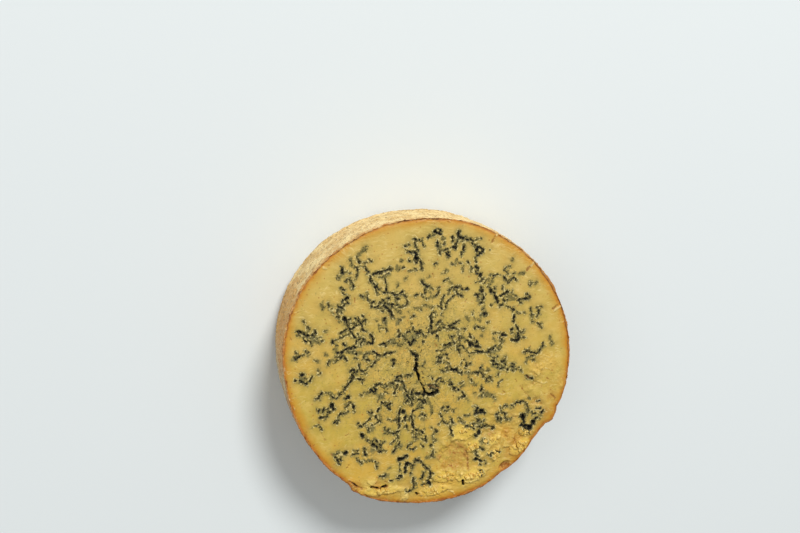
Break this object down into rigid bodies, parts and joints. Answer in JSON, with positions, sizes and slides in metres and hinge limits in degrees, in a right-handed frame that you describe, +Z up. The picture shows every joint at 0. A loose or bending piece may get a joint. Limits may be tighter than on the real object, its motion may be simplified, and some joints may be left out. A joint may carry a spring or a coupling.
{
  "type": "cut end of a blue cheese truckle",
  "caption": "Cut end of a drum-shaped orange-yellow cheese with blue-black veins, lying on its rind with the cut face up.",
  "frame": {"origin": "on the resting plane, under the middle of the bounding box", "axes": "+Z up out of the cut face, +X and +Y across the face: to the right and up in the picture's view of it"},
  "size_m": [0.1976, 0.197, 0.058],
  "materials": {
    "cheese": "matt, slightly waxy cut paste with dry rind"
  },
  "bodies": {
    "root": {"cheese": "cheese"}
  },
  "joints": []
}
